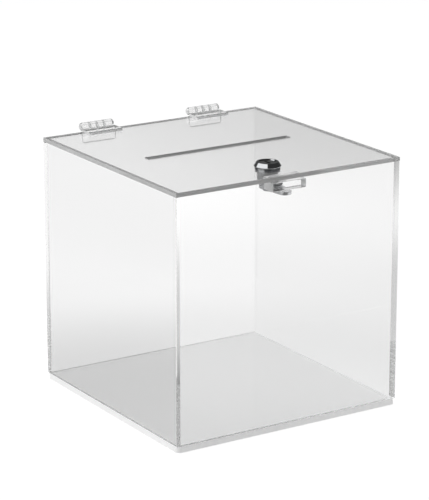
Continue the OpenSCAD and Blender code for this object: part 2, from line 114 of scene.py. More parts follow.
# Studio light. Pairs of distances or shares are the start and the end of a smooth change.
FLOOR_GAP, FLOOR_REACH, FLOOR_TONE = 0.3 * MM, 6.0, 0.8  # under the object, half its width, matt
FLOOR_FRONT, FLOOR_SLANT = (-0.76, -0.54), 0.6  # where the pale table starts, seen in mirrors
FLOOR_FAR = (1.0, 1.6)  # how far from the middle it ends
FLOOR_LEFT = (-1.1, -0.4)  # x - y where it turns from half dim to pale
SHADE_AT, SHADE_REACH = (-0.16, -0.02), (0.08, 0.3)  # a soft patch of painted shade on the table beside the box's left side
BACK_SHADE_AT, BACK_SHADE_REACH, BACK_SHADE_DIM = (0.05, 0.22), (0.08, 0.35), 0.62  # a fainter patch of painted shade close behind it
FLOOR_DIM, FLOOR_HALF, FLOOR_PALE = 0.12, 0.3, 1.05
FLOOR_GLOW = 0.75  # share of the floor that glows for the camera and through the sheets
CAMERA_WHITE = 1.18  # strength of that glow for the camera
UNDER_SHADE_WHITE, UNDER_REACH = 0.9, (0.14, 0.3)  # through the sheets, under the box and close to it, dimmed as a painted shadow
NEAR_SHADE_WHITE, THROUGH_WHITE, WHITE_REACH = 1.02, 1.2, (0.3, 0.72)  # and further off; the lower strength near the box is painted shade
RIGHT_FADE, RIGHT_WHITE = (0.25, 0.5), 0.9  # this much of it on the right
UP_FADE, UP_DIM = (0.0, 0.3), 0.3  # through the sheets and upwards
NEAR_GLOW, NEAR_LIGHT_POOL, NEAR_REACH = 0.8, 1.25, (0.16, 0.4)  # a painted pool of light: the table's glow near the object, for matt surfaces
ROOM_DIM, ROOM_FADE = 0.05, (0.36, 0.5)  # the room over the table, from this height of a ray
SKY_BACK = (0.0, 0.6)  # from the low sky in front to that behind
SKY_FRONT = 0.85  # low in front, for clear sheets
SKY_LEFT, SKY_RIGHT = 0.5, 0.38  # the sky low down behind the object, on its left and on its right
SKY_FADE = (0.47, 0.58)  # sideways share of the direction over which it falls from one to the other
SKY_BLUR = 0.12  # what rough surfaces mirror of it
AMBIENT_FRONT, AMBIENT_BACK, AMBIENT_FADE = 0.12, 0.8, (-0.8, 0.5)  # on matt surfaces
LAMP_AT, LAMP_AIM, LAMP_SIZE, LAMP_POWER = (-0.75, 0.15, 1.05), (0, 0, 0.15), (1.9, 1.1), 9.5
BOUNCES = 40  # a ray in the sheets meets many faces

# Camera: the eye's place and aim, with a long lens
EYE = Vector((-0.9719, -1.5228, 0.65326))
YAW, PITCH = 0.5662, 0.2886
LENS = 173.14


# ---------------------------- paths


def arc_path(corners, radii, steps=6, closed=True):
    """A polygon with rounded corners: (points, outward normals), both n x 2.

    Each corner is replaced by an arc tangent to its two sides: the arc's centre lies on the corner's
    bisector, and its ends lie r * tan(turn / 2) from the corner. The path runs with its outside on
    its right, so an outline drawn anticlockwise has normals that point away from its middle.
    """
    p = np.asarray(corners, float)
    r = np.broadcast_to(np.asarray(radii, float), len(p))
    before, after = p - np.roll(p, 1, 0), np.roll(p, -1, 0) - p
    if not closed:
        before[0], after[-1] = after[0], before[-1]
    before = before / np.linalg.norm(before, axis=1)[:, None]
    after = after / np.linalg.norm(after, axis=1)[:, None]
    turn = np.arctan2(
        before[:, 0] * after[:, 1] - before[:, 1] * after[:, 0], (before * after).sum(1)
    )
    side = np.sign(turn)
    heading = np.arctan2(before[:, 1], before[:, 0])
    share = np.linspace(0, 1, steps)
    angle = heading[:, None] + turn[:, None] * share
    normal = np.stack([np.sin(angle), -np.cos(angle)], -1)
    start = p - before * (r * np.tan(np.abs(turn) / 2))[:, None]
    inward = np.stack([-np.sin(heading), np.cos(heading)], -1) * side[:, None]
    centre = start + inward * r[:, None]
    points = centre[:, None] + normal * (r * side)[:, None, None]
    return points.reshape(-1, 2), normal.reshape(-1, 2)


def ways(angles):
    """The directions (cos a, sin a) of the angles."""
    return np.stack([np.cos(angles), np.sin(angles)], -1)


def full_turn(steps):
    """Angles once round, evenly spaced."""
    return np.linspace(0, 2 * np.pi, steps, endpoint=False)


def arc(r, start, end, steps):
    """Points and normals on a circle round (0, 0): r (cos a, sin a) and (cos a, sin a)."""
    way = ways(np.linspace(start, end, steps))
    return r * way, way


def circle_path(r, steps=ROUND_STEPS):
    """A circle, anticlockwise: r (cos a, sin a), with normals (cos a, sin a)."""
    way = ways(full_turn(steps))
    return r * way, way


def box_path(w, d, r, steps=6):
    """A rectangle w by d with corners rounded to r, anticlockwise."""
    x, y = w / 2, d / 2
    return arc_path([(-x, -y), (x, -y), (x, y), (-x, y)], r, steps)


def flat_reach(flats, angles):
    """How far out two flats, flats apart on the left and right, lie: flats / (2 |cos a|)."""
    return flats / 2 / np.maximum(np.abs(np.cos(angles)), TINY)


def flatted_path(r, flats, centre):
    """A circle of radius r with two flats: its radius is the smaller of r and the flats' reach."""
    a = full_turn(ROUND_STEPS)
    flat, way = flat_reach(flats, a), ways(a)
    across = np.stack([np.sign(np.cos(a)), np.zeros_like(a)], -1)
    normal = np.where((flat < r)[:, None], across, way)
    return np.asarray(centre) + np.minimum(r, flat)[:, None] * way, normal


# ---------------------------- solids


class Solid:
    """Closed surfaces gathered as arrays of points, normals and faces, then made one mesh."""

    def __init__(self):
        self.points, self.normals, self.faces, self.tags = [], [], [], []

    def add(self, points, normals, faces):
        """Gathers one more surface, with as-cast faces, whose indices start at 0."""
        self.faces.append(np.asarray(faces) + sum(len(p) for p in self.points))
        self.tags.append(np.zeros(len(faces), int))
        self.points.append(np.asarray(points, float).reshape(-1, 3))
        self.normals.append(np.asarray(normals, float).reshape(-1, 3))

    def mark(self, tag, axis, sign, before=None):
        """Gives the plain faces that look along an axis, to the side of the sign, another finish.

        With before, an (axis, limit) pair, only those that lie short of the limit."""
        points, normals = np.concatenate(self.points), np.concatenate(self.normals)
        for faces, tags in zip(self.faces, self.tags):
            chosen = (sign * normals[faces].mean(1)[:, axis] > FACING) & (tags == PLAIN)
            if before:
                chosen &= points[faces].max(1)[:, before[0]] < before[1] + FILM
            tags[chosen] = tag
        return self

    def grid(self, points, normals, wrap_rows=False):
        """Quads over a rows x columns x 3 grid whose columns close on themselves.

        Face (i, j) joins (i, j), (i, j + 1), (i + 1, j + 1) and (i + 1, j). Where two rows or two
        columns lie on each other, as at a sharp corner with two normals, no face is made."""
        rows, cols = points.shape[:2]
        i = np.arange(rows if wrap_rows else rows - 1)[:, None]
        j = np.arange(cols)[None, :]
        after, beside = (i + 1) % rows, (j + 1) % cols
        faces = np.stack([
            i * cols + j, i * cols + beside, after * cols + beside, after * cols + j], -1)
        open_rows = np.abs(points[after[:, 0]] - points[i[:, 0]]).max((1, 2)) > TINY
        open_cols = np.abs(points[:, beside[0]] - points[:, j[0]]).max((0, 2)) > TINY
        self.add(points, normals, faces[open_rows][:, open_cols].reshape(-1, 4))

    def cap(self, loops, height, up, tag=PLAIN):
        """A flat face at a height between closed loops, the first outside and the rest holes.

        Of the triangles between all the loops' corners, those are kept whose middle lies inside an
        odd number of loops."""
        loops = [np.asarray(loop, float) for loop in loops]
        loops = [p[np.abs(p - np.roll(p, 1, 0)).max(1) > TINY] for p in loops]
        points, ahead = np.concatenate(loops), np.concatenate([np.roll(p, -1, 0) for p in loops])
        starts = np.cumsum([0] + [len(p) for p in loops])
        edges = np.concatenate([
            start + np.stack([np.arange(len(p)), (np.arange(len(p)) + 1) % len(p)], -1)
            for start, p in zip(starts, loops)])
        _, _, tris, origin, _, _ = delaunay_2d_cdt(
            [Vector(p) for p in (points / MM).tolist()], edges.tolist(), [], 0, SAME_POINT)
        tris = np.array([o[0] for o in origin])[np.array(tris)]
        middle = points[tris].mean(1)[:, None]
        astride = (points[None, :, 1] > middle[..., 1]) != (ahead[None, :, 1] > middle[..., 1])
        rise = np.where(astride, ahead[None, :, 1] - points[None, :, 1], 1.0)
        share = (middle[..., 1] - points[None, :, 1]) / rise
        cross = points[None, :, 0] + share * (ahead - points)[None, :, 0]
        tris = tris[(astride & (middle[..., 0] < cross)).sum(1) % 2 == 1]
        first, second = (points[tris[:, k]] - points[tris[:, 0]] for k in (1, 2))
        wrong = (first[:, 0] * second[:, 1] - first[:, 1] * second[:, 0] > 0) != up
        tris[wrong] = tris[wrong][:, ::-1]
        points = np.column_stack([points, np.full(len(points), height)])
        normals = np.broadcast_to((0, 0, 1 if up else -1), points.shape)
        self.add(points, normals, tris)
        self.tags[-1][:] = tag

    def wall(self, outline, profile, hole=False):
        """A profile carried along a closed outline.

        The profile is (inset, height) points with their normals, from low to high: a point of the
        wall is the outline's point moved inwards by the inset and up to the height. On a hole the
        outline's normal is turned round, so that insets lead into the material."""
        (path, away), (steps, lean) = outline, profile
        side = -1 if hole else 1
        flat = path[None] - side * away[None] * steps[:, None, :1]
        height = np.broadcast_to(steps[:, None, 1:], flat.shape[:2] + (1,))
        normals = np.concatenate(
            [side * away[None] * lean[:, None, :1],
             np.broadcast_to(lean[:, None, 1:], flat.shape[:2] + (1,))], -1)
        points = np.concatenate([flat, height], -1)
        if hole:
            points, normals = points[:, ::-1], normals[:, ::-1]
        self.grid(points, normals)
        return flat[0], flat[-1]

    def plate(self, outline, holes, low, high, edge, joints=(None, None)):
        """A plate between two heights with a rounded edge along its outline and its holes.

        The joints share out its lower and its upper face: from the outline of its face each gives
        the outline that is left of it, the loops cut out of that, and the cemented parts."""
        profile = edge_profile(low, high, edge)
        sides = zip(*[self.wall(o, profile, k > 0) for k, o in enumerate([outline, *holes])])
        for loops, height, up, joint in zip(sides, (low, high), (False, True), joints):
            if joint:
                rest, inner, parts = joint(loops[0])
                for part in parts:
                    self.cap(part, height, up, JOINED)
                loops = (rest, *loops[1:], *inner)
            self.cap(loops, height, up)

    def moved(self, place, axes=(0, 1, 2)):
        """Turns the solid so that its x, y and z run along the given axes, then moves it."""
        order = np.argsort(axes)
        self.points = [p[:, order] + np.asarray(place) for p in self.points]
        self.normals = [n[:, order] for n in self.normals]
        if np.linalg.det(np.eye(3)[list(axes)]) < 0:
            self.faces = [f[:, ::-1] for f in self.faces]
        return self


def edge_profile(low, high, edge, steps=5):
    """The side of a plate: a quarter round from the lower face, straight up, a quarter round in."""
    a = np.linspace(-np.pi / 2, 0, steps)
    lower = np.stack([edge * (1 - np.cos(a)), low + edge * (1 + np.sin(a))], -1)
    upper = np.stack([lower[::-1, 0], low + high - lower[::-1, 1]], -1)
    lean = np.stack([np.cos(a), np.sin(a)], -1)
    lean_up = np.stack([lean[::-1, 0], -lean[::-1, 1]], -1)
    return np.concatenate([lower, upper]), np.concatenate([lean, lean_up])


def make_piece(name, solid, finishes, body, node):
    """One mesh of a solid, with its worked-out normals, riding on a body in place of a CAD node.

    Its finishes are the materials of the faces' tags."""
    points, normals = np.concatenate(solid.points), np.concatenate(solid.normals)
    normals = normals / np.maximum(np.linalg.norm(normals, axis=1), TINY)[:, None]
    kept = np.unique(np.concatenate([part.ravel() for part in solid.faces]))
    place = np.zeros(len(points), int)
    place[kept] = np.arange(len(kept))
    points, normals = points[kept], normals[kept]
    mesh = bpy.data.meshes.new(name)
    mesh.from_pydata(
        points.tolist(), [], [face for part in solid.faces for face in place[part].tolist()])
    mesh.update()
    mesh.polygons.foreach_set("use_smooth", np.ones(len(mesh.polygons), bool))
    used, index = np.unique(np.concatenate(solid.tags), return_inverse=True)
    mesh.polygons.foreach_set("material_index", index.ravel())
    mesh.normals_split_custom_set_from_vertices(normals.tolist())
    for tag in used:
        mesh.materials.append(finishes[tag])
    piece = bpy.data.objects.new(name, mesh)
    bpy.context.scene.collection.objects.link(piece)
    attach(piece, body)
    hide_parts(node)


# ---------------------------- materials


def new_material(name):
    """An empty material, its node tree and its output node."""
    material = bpy.data.materials.new(name)
    material.use_nodes = True
    tree = material.node_tree
    tree.nodes.clear()
    output = tree.nodes.new("ShaderNodeOutputMaterial")
    return material, tree, output


def add_node(tree, kind, **values):
    """A shader node. Inputs are set by name, or by number after an i, and its own settings by name
    after an underscore. A value that is a socket is linked."""
    node = tree.nodes.new(kind)
    for key, value in values.items():
        if key[0] == "_":
            setattr(node, key[1:], value)
            continue
        name = key.replace("_", " ")
        numbered = name[0] == "i" and name[1:].isdigit()
        socket = node.inputs[int(name[1:]) if numbered else name]
        if isinstance(value, bpy.types.NodeSocket):
            tree.links.new(value, socket)
        else:
            socket.default_value = value
    return node


def grey(level):
    """A grey of this level, as a shader's colour."""
    return (level, level, level, 1)


def pattern(tree, scale, detail):
    """Noise over the piece's own coordinates, from 0 to 1."""
    place = add_node(tree, "ShaderNodeTexCoord").outputs["Object"]
    noise = add_node(tree, "ShaderNodeTexNoise", Vector=place, Scale=scale, Detail=detail)
    return noise.outputs["Fac"]


def clear_acrylic(name, tint, wave, scratch):
    """Cast acrylic: glass with a faint wave of its faces and hairline scratches.

    Lamps shine through it by the shadow ray's own shader."""
    material, tree, output = new_material(name)
    rough = add_node(
        tree, "ShaderNodeMapRange", Value=pattern(tree, HAIR_SCALE, detail=3.0), From_Min=HAIR_FROM,
        From_Max=HAIR_TO, To_Min=0.0, To_Max=scratch)
    bump = add_node(
        tree, "ShaderNodeBump", Height=pattern(tree, WAVE_SCALE, detail=1.0), Strength=1.0,
        Distance=wave)
    glass = add_node(
        tree, "ShaderNodeBsdfPrincipled", Base_Color=grey(tint), IOR=ACRYLIC_IOR,
        Roughness=rough.outputs["Result"], Transmission_Weight=1.0, Normal=bump.outputs["Normal"])
    through = add_node(tree, "ShaderNodeBsdfTransparent", Color=SHADOW_TINT)
    path = add_node(tree, "ShaderNodeLightPath")
    mix = add_node(
        tree, "ShaderNodeMixShader", i0=path.outputs["Is Shadow Ray"],
        i1=glass.outputs[0], i2=through.outputs[0])
    tree.links.new(mix.outputs[0], output.inputs["Surface"])
    return material


def sawn_acrylic(name, tone, clear, rough):
    """A cut edge of a sheet: part frosted, part clear, with fine saw lines in its face."""
    material, tree, output = new_material(name)
    shade = add_node(
        tree, "ShaderNodeMix", _data_type="RGBA", Factor=pattern(tree, CLOUD_SCALE, detail=2.0),
        i6=grey(tone), i7=grey(tone * CLOUD_DIM))
    bump = add_node(
        tree, "ShaderNodeBump", Height=pattern(tree, SAW_SCALE, detail=3.0), Strength=SAW_SHARE,
        Distance=SAW_DEPTH)
    edge = add_node(
        tree, "ShaderNodeBsdfPrincipled", Base_Color=shade.outputs[2], IOR=ACRYLIC_IOR,
        Roughness=rough, Transmission_Weight=clear, Normal=bump.outputs["Normal"])
    tree.links.new(edge.outputs[0], output.inputs["Surface"])
    return material


def cement_film(name, airy):
    """A cemented face: acrylic runs on through it, so that it neither mirrors nor bends light.

    An airy joint mirrors the light that is led along inside the sheet."""
    material, tree, output = new_material(name)
    film = add_node(
        tree, "ShaderNodeBsdfPrincipled", Base_Color=grey(FILM_TONE), Roughness=FILM_ROUGH,
        IOR=ACRYLIC_IOR, Alpha=0.0)
    if not airy:
        tree.links.new(film.outputs[0], output.inputs["Surface"])
        return material
    mirror = add_node(tree, "ShaderNodeBsdfAnisotropic", Color=grey(FILM_TONE), Roughness=0.0)
    depth = add_node(tree, "ShaderNodeLightPath").outputs["Glossy Depth"]
    led = add_node(tree, "ShaderNodeMath", _operation="GREATER_THAN", i0=depth, i1=ONCE)
    mix = add_node(
        tree, "ShaderNodeMixShader", i0=led.outputs[0], i1=film.outputs[0], i2=mirror.outputs[0])
    tree.links.new(mix.outputs[0], output.inputs["Surface"])
    return material


def bright_metal(name, colour, rough, speckle, ripple):
    """Plated metal: a mirror coat with a fine grain in its roughness and a low ripple."""
    material, tree, output = new_material(name)
    grain = pattern(tree, speckle, detail=4.0)
    spread = add_node(
        tree, "ShaderNodeMapRange", Value=grain, To_Min=rough, To_Max=rough * SPOT_ROUGH)
    shade = add_node(
        tree, "ShaderNodeMix", _data_type="RGBA", Factor=grain,
        i6=(*colour, 1), i7=(*(c * SPOT_DIM for c in colour), 1))
    bump = add_node(tree, "ShaderNodeBump", Height=grain, Strength=RIPPLE_SHARE, Distance=ripple)
    metal = add_node(
        tree, "ShaderNodeBsdfPrincipled", Base_Color=shade.outputs[2], Metallic=1.0,
        Roughness=spread.outputs["Result"], Normal=bump.outputs["Normal"])
    tree.links.new(metal.outputs[0], output.inputs["Surface"])
    return material


SHEET = clear_acrylic("clear_acrylic", tint=0.99, wave=0.02 * MM, scratch=0.0045)
POLISHED_EDGE = clear_acrylic("polished_edge", tint=0.98, wave=0.0, scratch=0.0)
HINGE_CLEAR = clear_acrylic("clear_hinge_plastic", tint=0.98, wave=0.01 * MM, scratch=0.06)
# painted shade: the lid's cut edges are a darker grey (0.8) than the other cut edges (0.98)
SHADED_LID_EDGE = sawn_acrylic("lid_cut_edge_painted_shade", tone=0.8, clear=0.3, rough=0.2)
# painted shade: a much darker copy of the cut edge, for milled faces (the slot's and lock hole's
# walls, the catch's end)
SHADED_MILLED_EDGE = sawn_acrylic("milled_edge_painted_shade", tone=0.42, clear=0.2, rough=0.3)
BASE_EDGE = sawn_acrylic("base_cut_edge", tone=0.98, clear=0.12, rough=0.5)
HINGE_MATT = sawn_acrylic("hinge_matt_end", tone=0.98, clear=0.35, rough=0.4)
CATCH_END = sawn_acrylic("catch_block_end", tone=0.98, clear=0.7, rough=0.3)
CEMENT = cement_film("clear_cement", airy=False)
AIRY_CEMENT = cement_film("airy_cement", airy=True)
CHROME = bright_metal(
    "bright_chrome", (0.56, 0.57, 0.58), rough=0.03, speckle=900.0, ripple=0.002 * MM)
STEEL = bright_metal(
    "plated_steel", (0.24, 0.245, 0.255), rough=0.3, speckle=700.0, ripple=0.01 * MM)
BRASS = bright_metal(
    "yellow_brass", (0.82, 0.64, 0.32), rough=0.16, speckle=800.0, ripple=0.01 * MM)


# ---------------------------- sheets


wall_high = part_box("left_panel")[1]
INNER_X = -wall_high.x  # inner faces of the side panels
INNER_Y = wall_high.y  # inner faces of the front and back panels


def with_points(outline, places):
    """The outline with more points where its straight stretches cross the given y places."""
    points, normal = outline
    for y in places:
        step = np.roll(points, -1, 0)
        cross = (points[:, 1] - y) * (step[:, 1] - y) < 0
        at = np.nonzero(cross)[0]
        share = (y - points[at, 1]) / (step[at, 1] - points[at, 1])
        fresh = points[at] + share[:, None] * (step[at] - points[at])
        points = np.insert(points, at + 1, fresh, 0)
        normal = np.insert(normal, at + 1, normal[at], 0)
    return points, normal


def band(loop, low, high):
    """The part of a flat loop whose second coordinate lies from low to high."""
    return loop[(loop[:, 1] > low - TINY) & (loop[:, 1] < high + TINY)]


def ring_joint(loop):
    """The base's upper face: a cemented ring under the four walls."""
    inner, _ = box_path(2 * INNER_X, 2 * INNER_Y, 0, steps=1)
    return inner, (), [(loop, inner)]


def strip_joint(patches):
    """A wall's inner face: a cemented strip at both ends, and cemented patches between them."""
    def joint(loop):
        strips = [(band(loop, -1, -INNER_X),), (band(loop, INNER_X, 1),)]
        return band(loop, -INNER_X, INNER_X), patches, strips + [(part,) for part in patches]
    return joint


def patch_joint(patches):
    """A face with cemented patches."""
    def joint(loop):
        return loop, patches, [(part,) for part in patches]
    return joint


def patch(span, middle, width, corner=0.0):
    """A cemented rectangle along a span of the first coordinate and about the middle of the second;
    the corner rounds its two corners at the span's start."""
    (far, near), low, high = span, middle - width / 2, middle + width / 2
    corners = [(far, low), (near, low), (near, high), (far, high)]
    if not corner:
        return np.array(corners)
    return arc_path(corners, (corner, 0, 0, corner))[0]


def node_box(node):
    """Lowest and highest corner of a node, as arrays."""
    return [np.array(corner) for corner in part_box(node)]


def panel(node, across, edge=JOINT_EDGE, corner=None, joints=(None, None), places=()):
    """An upright or flat sheet in the place of its node; across is the axis of its thickness."""
    low, high = node_box(node)
    u, v = [(1, 2), (2, 0), (0, 1)][across]
    size, middle = high - low, (low + high) / 2
    solid = Solid()
    outline = with_points(box_path(size[u], size[v], corner or edge), places)
    solid.plate(outline, [], -size[across] / 2, size[across] / 2, edge, joints)
    return solid.moved(middle, (u, v, across))


def lid_sheet(patches):
    """The lid: a plate with the slot and the lock's flatted hole cut through it."""
    low, high = node_box("lid_panel")
    low[2] += REST_GAP
    size, middle = high - low, (low + high) / 2
    slot = box_path(SLOT_L, SLOT_W, SLOT_CORNER)
    lock_hole = flatted_path(
        BARREL_R + HOLE_CLEAR, BARREL_FLATS + 2 * HOLE_CLEAR, (0, LOCK_Y - middle[1]))
    solid = Solid()
    solid.plate(
        box_path(size[0], size[1], SHEET_EDGE), [slot, lock_hole],
        -size[2] / 2, size[2] / 2, SHEET_EDGE, (None, patch_joint(patches)))
    # the walls of the slot and the lock's hole take the milled edge, painted darker as shade
    for tags in solid.tags[1:3]:
        tags[:] = MILLED
    return solid.moved(middle)


def make_sheet(name, solid, body, node, edges, edge_finish, joined=()):
    """A sheet whose faces along the given (axis, sign) pairs are cut edges, or are cemented, with
    air left in an upright sheet's lower joint."""
    for axis, sign in edges:
        solid.mark(CUT, axis, sign)
    for axis, sign in joined:
        solid.mark(AIRY if axis == 2 else JOINED, axis, sign)
    finishes = (SHEET, edge_finish, CEMENT, SHADED_MILLED_EDGE, AIRY_CEMENT)
    make_piece(name, solid, finishes, body, node)


lock_low, lock_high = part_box("lock_housing")
LOCK_Y = (lock_low.y + lock_high.y) / 2
LID_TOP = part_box("lid_panel")[1].z

front_low, front_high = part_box("front_panel")
catch_low, catch_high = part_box("catch_block")
FRONT_MID_Z = (front_low.z + front_high.z) / 2
catch_patch = patch(
    (catch_low.z + CATCH_EDGE - FRONT_MID_Z, catch_high.z - CATCH_EDGE - FRONT_MID_Z),
    (catch_low.x + catch_high.x) / 2, catch_high.x - catch_low.x - 2 * CATCH_EDGE)
lid_patches, back_patches = [], []
for side in ("left", "right"):
    leaf_low, leaf_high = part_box(f"hinge_{side}_lid_leaf")
    body_low, body_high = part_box(f"hinge_{side}_body_leaf")
    hinge_mid = (body_low.x + body_high.x) / 2
    span = (leaf_low.y + LEAF_FOOT, leaf_high.y - 2 * KNUCKLE_R - KNUCKLE_CLEAR)
    lid_patches.append(patch(span, hinge_mid, HINGE_L, LEAF_CORNER)[::-1, ::-1])
    span = (body_low.z + LEAF_FOOT - FRONT_MID_Z, front_high.z - 2 * JOINT_EDGE - FRONT_MID_Z)
    back_patches.append(patch(span, hinge_mid, HINGE_L, LEAF_CORNER))

LEFT_RIGHT, FRONT_BACK = ((0, 1), (0, -1)), ((1, 1), (1, -1))
TOP, BOTTOM = (2, 1), (2, -1)
WALL_JOINTS = {
    "front": (None, strip_joint([catch_patch])), "left": (None, None), "right": (None, None),
    "back": (strip_joint([]), patch_joint(back_patches)),
}
for side, joints in WALL_JOINTS.items():
    name, node = f"{side}_sheet", f"{side}_panel"
    if side in ("front", "back"):
        solid = panel(node, 1, joints=joints, places=(-INNER_X, INNER_X))
        make_sheet(name, solid, "box", node, (*LEFT_RIGHT, TOP), POLISHED_EDGE, (BOTTOM,))
    else:
        solid = panel(node, 0)
        make_sheet(name, solid, "box", node, (TOP,), POLISHED_EDGE, (BOTTOM, *FRONT_BACK))
SIDES = (*LEFT_RIGHT, *FRONT_BACK)
base = panel("base_panel", 2, JOINT_EDGE, BASE_CORNER, (None, ring_joint))
make_sheet("base_sheet", base, "box", "base_panel", SIDES, BASE_EDGE)
make_sheet("lid_sheet", lid_sheet(lid_patches), "lid", "lid_panel", SIDES, SHADED_LID_EDGE)
catch = panel("catch_block", 2, CATCH_EDGE).mark(MILLED, 0, -1)
make_sheet("lock_catch", catch, "box", "catch_block", ((0, 1),), CATCH_END, ((1, -1),))


# ---------------------------- hinges


def straight(low, high):
    """An upright profile from one height to another."""
    return np.array([[0.0, low], [0.0, high]]), np.array([[1.0, 0.0]] * 2)


def leaf_section(reach, with_knuckle, bite=0.0):
    """The leaf cut across: a strip with a rounded far end, and with its knuckle a circle that the
    strip's underside runs into. The bite shortens the strip from its far end."""
    far = -KNUCKLE_R - reach + bite
    foot_arc, foot_lean = arc(LEAF_FOOT, np.pi, 1.5 * np.pi, steps=4)
    brow_arc, brow_lean = arc(LEAF_BROW, np.pi / 2, np.pi, steps=12)
    foot, brow = np.array([[WEB_END, -KNUCKLE_R]]), np.array([[WEB_END, WEB_TOP]])
    down, up, back = np.array([[0.0, -1.0]]), np.array([[0.0, 1.0]]), np.array([[1.0, 0.0]])
    if with_knuckle:
        ring, ring_lean = arc(KNUCKLE_R, -np.pi / 2, WEB_ANGLE, KNUCKLE_STEPS)
        middle, middle_lean = [foot, ring, ring[-1:], brow], [down, ring_lean, up, up]
    else:
        middle, middle_lean = [foot, foot, brow, brow], [down, back, back, up]
    points = np.concatenate([
        foot_arc + (far + LEAF_FOOT, LEAF_FOOT - KNUCKLE_R), *middle,
        brow_arc + (far + LEAF_BROW, WEB_TOP - LEAF_BROW)])
    return points, np.concatenate([foot_lean, *middle_lean, brow_lean])


def add_dome(solid, circle, bore, end, tip):
    """A quarter round over a knuckle's outer end, and the flat face of its tip: at angle t the inset
    is r (1 - cos t) and the height r sin t. The bore runs out through the upper tip alone."""
    up = tip > end
    side = 1 if up else -1
    t = np.linspace(0, np.pi / 2, DOME_STEPS)[::side]
    profile = np.stack(
        [KNUCKLE_ROUND * (1 - np.cos(t)), end + side * KNUCKLE_ROUND * np.sin(t)], -1)
    solid.wall(circle, (profile, np.stack([np.cos(t), side * np.sin(t)], -1)))
    face = circle[0] * (1 - KNUCKLE_ROUND / KNUCKLE_R)
    solid.cap([face, bore] if up else [face], tip, up)


def add_knuckle(solid, k, section):
    """Knuckle k along the pin, with its part of the leaf: the section carried along the axis, an
    end face on both sides and the bore, which is blind in the first one. It gives its two ends."""
    low = KNUCKLE_ENDS[k] + KNUCKLE_GAP / 2 * (k > 0)
    high = KNUCKLE_ENDS[k + 1] - KNUCKLE_GAP / 2 * (k < LAST_KNUCKLE)
    web_low, web_high = low + KNUCKLE_ROUND * (k == 0), high - KNUCKLE_ROUND * (k == LAST_KNUCKLE)
    ring, ring_lean = arc(KNUCKLE_R, -np.pi / 2, WEB_ANGLE, KNUCKLE_STEPS)
    rest, rest_lean = arc(KNUCKLE_R, WEB_ANGLE, 1.5 * np.pi, WEB_STEPS)
    circle = np.concatenate([ring, rest[1:-1]]), np.concatenate([ring_lean, rest_lean[1:-1]])
    bore = circle_path(BORE_R, BORE_STEPS)
    foot, brow = [[WEB_END, -KNUCKLE_R]], [[WEB_END, WEB_TOP]]
    for end, tip, up in ((web_low, low, False), (web_high, high, True)):
        if end == tip:
            solid.cap([np.concatenate([foot, ring, brow]), bore[0]], end, up)
            continue
        solid.cap([np.concatenate([foot, rest[::-1], brow])], end, up)
        add_dome(solid, circle, bore[0], end, tip)
    blind = low + PIN_BLIND * (k == 0)
    solid.wall(bore, straight(blind, high), True)
    if k == 0:
        solid.cap([bore[0]], blind, True)
    solid.wall(section, straight(web_low, web_high))
    return web_low, web_high


def hinge_leaf(which, reach):
    """One leaf about the pin's axis, which is its Z: its knuckles, and the plain strip between them.

    Towards the leaf's ends the strip's corners are round: at angle t the section is bitten off by
    r (1 - cos t), r (1 - sin t) from the end."""
    solid = Solid()
    section = leaf_section(reach, True)
    spans = [add_knuckle(solid, k, section) for k in which]
    half = HINGE_L / 2
    turn = np.linspace(0, np.pi / 2, CORNER_STEPS)
    back = LEAF_CORNER * (1 - np.sin(turn))
    for low, high in np.array([-half, *np.ravel(spans), half]).reshape(-1, 2):
        first = (low + back[::-1], -turn[::-1]) if low == -half else ([low], [0.0])
        last = (high - back, turn) if high == half else ([high], [0.0])
        grid, grid_lean = [], []
        for z, t in zip(*np.concatenate([first, last], 1)):
            strip, lean = leaf_section(reach, False, LEAF_CORNER * (1 - np.cos(t)))
            grid.append(np.column_stack([strip, np.full(len(strip), z)]))
            tilt = np.maximum(-lean[:, 0], 0) * np.sin(t)
            grid_lean.append(np.column_stack([lean[:, 0] * np.cos(t), lean[:, 1], tilt]))
        solid.grid(np.array(grid), np.array(grid_lean))
    end_section = leaf_section(reach, False, LEAF_CORNER)[0]
    solid.cap([end_section], -half, False)
    solid.cap([end_section], half, True)
    return solid


def hinge_pin():
    """The pin about its own axis: a round bar with rounded ends."""
    solid = Solid()
    solid.plate(
        circle_path(PIN_R, BORE_STEPS), [],
        -HINGE_L / 2 + PIN_BLIND, HINGE_L / 2 - PIN_RECESS, PIN_EDGE)
    return solid


for side in ("left", "right"):
    pin_low, pin_high = node_box(f"hinge_{side}_pin")
    leaf_low, leaf_high = node_box(f"hinge_{side}_body_leaf")
    lid_leaf_low, _ = node_box(f"hinge_{side}_lid_leaf")
    axis = (pin_low + pin_high) / 2
    axis[0] = (leaf_low[0] + leaf_high[0]) / 2
    lid_leaf = hinge_leaf((1, 3), axis[1] - KNUCKLE_R - lid_leaf_low[1])
    body_leaf = hinge_leaf((0, 2), axis[2] - KNUCKLE_R - leaf_low[2])
    for leaf in (lid_leaf, body_leaf):
        leaf.mark(CUT, 2, 1).mark(CUT, 2, -1).mark(CUT, 0, -1, (0, WEB_END))
        leaf.mark(JOINED, 1, -1, (0, WEB_END))
    lid_leaf.moved(axis + (0, 0, FILM), (1, 2, 0))
    body_leaf.moved(axis + (0, FILM, 0), (2, 1, 0))
    pin = hinge_pin().moved(axis, (1, 2, 0))
    for piece, solid, body in (
            ("lid_leaf", lid_leaf, "lid"), ("body_leaf", body_leaf, "box"), ("pin", pin, "box")):
        name = f"hinge_{side}_{piece}"
        make_piece(
            f"clear_{name}", solid, (HINGE_CLEAR, HINGE_MATT, CEMENT), body, name)


# ---------------------------- lock


def rings(profile, angles):
    """Rows of points round the Z axis, one for each (radius, height) point of a profile."""
    points, lean = profile
    way = ways(angles)
    def spread(out, up):
        up = np.broadcast_to(up[:, None, None], (len(up), len(angles), 1))
        return np.concatenate([out[:, None, None] * way[None], up], -1)
    return spread(*points.T), spread(*lean.T)


